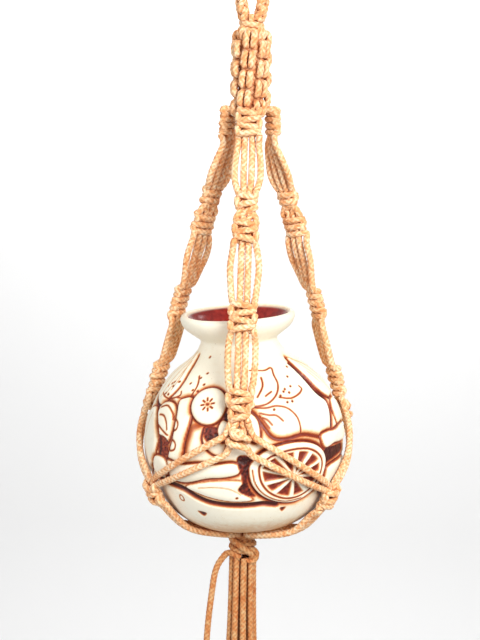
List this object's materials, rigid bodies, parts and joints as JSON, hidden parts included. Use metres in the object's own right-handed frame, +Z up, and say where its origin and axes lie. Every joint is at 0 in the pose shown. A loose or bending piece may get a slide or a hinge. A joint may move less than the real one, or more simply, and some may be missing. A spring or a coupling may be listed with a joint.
{
  "type": "hanging macrame planter",
  "caption": "Knotted cord plant hanger with a hanging loop, braided crown, knotted arms, net cradle and tassel, holding a round ceramic pot decorated in relief.",
  "frame": {"origin": "top of the hanging loop's eye, where the hook bears", "axes": "+Z up, -Y is the front with one of the three arms, +X to the right seen from the front"},
  "size_m": [0.1664, 0.1675, 0.6435],
  "materials": {
    "cord": "braided apricot cord, matt with a faint sheen",
    "ceramic": "cream stoneware with a dark red-brown wash in its relief, glossy dark red inside"
  },
  "bodies": {
    "hanger": {"hanging_loop": "cord", "loop_binding": "cord", "crown_sinnet": "cord", "head_knot_front": "cord", "head_knot_right": "cord", "head_knot_left": "cord", "net_cords_front_to_right": "cord", "net_cords_front_to_left": "cord", "net_cords_right_to_right": "cord", "net_cords_right_to_back": "cord", "net_cords_left_to_back": "cord", "net_cords_left_to_left": "cord", "joint_knot_right": "cord", "joint_knot_back": "cord", "joint_knot_left": "cord", "under_cords_right": "cord", "under_cords_back": "cord", "under_cords_left": "cord", "base_knot": "cord"},
    "pot": {"pot": "ceramic"},
    "arm_front": {"upper_cords_front": "cord", "upper_knot_front": "cord", "middle_cords_front": "cord", "middle_knot_front": "cord", "lower_cords_front": "cord", "lower_knot_front": "cord", "gather_knot_front": "cord"},
    "arm_right": {"upper_cords_right": "cord", "upper_knot_right": "cord", "middle_cords_right": "cord", "middle_knot_right": "cord", "lower_cords_right": "cord", "lower_knot_right": "cord", "gather_knot_right": "cord"},
    "arm_left": {"upper_cords_left": "cord", "upper_knot_left": "cord", "middle_cords_left": "cord", "middle_knot_left": "cord", "lower_cords_left": "cord", "lower_knot_left": "cord", "gather_knot_left": "cord"},
    "tassel": {"tassel_cord_01": "cord", "tassel_cord_02": "cord", "tassel_cord_03": "cord", "tassel_cord_04": "cord", "tassel_cord_05": "cord", "tassel_cord_06": "cord", "tassel_cord_07": "cord", "tassel_cord_08": "cord", "tassel_cord_09": "cord", "tassel_cord_10": "cord", "tassel_cord_11": "cord", "tassel_cord_12": "cord", "wrap_tail": "cord"}
  },
  "joints": [
    {"name": "pot_lift", "type": "slide", "parent": "hanger", "child": "pot", "axis": [0, 0, 1], "range_m": [0, 0.04]},
    {"name": "arm_spread_front", "type": "hinge", "parent": "hanger", "child": "arm_front", "pos_m": [0, -0.0154, -0.152], "axis": [-1, 0, 0], "range_deg": [0, 6.5]},
    {"name": "arm_spread_right", "type": "hinge", "parent": "hanger", "child": "arm_right", "pos_m": [0.01447, 0.00527, -0.152], "axis": [0.342, -0.9397, 0], "range_deg": [0, 6.5]},
    {"name": "arm_spread_left", "type": "hinge", "parent": "hanger", "child": "arm_left", "pos_m": [-0.01447, 0.00527, -0.152], "axis": [0.342, 0.9397, 0], "range_deg": [0, 6.5]},
    {"name": "tassel_swing", "type": "hinge", "parent": "hanger", "child": "tassel", "pos_m": [0, 0, -0.464], "axis": [0, 1, 0], "range_deg": [-35, 35]}
  ],
  "couplings": [
    {"joint": "arm_spread_front", "follows": "pot_lift", "rad_per_m": 2.618},
    {"joint": "arm_spread_right", "follows": "pot_lift", "rad_per_m": 2.618},
    {"joint": "arm_spread_left", "follows": "pot_lift", "rad_per_m": 2.618}
  ]
}
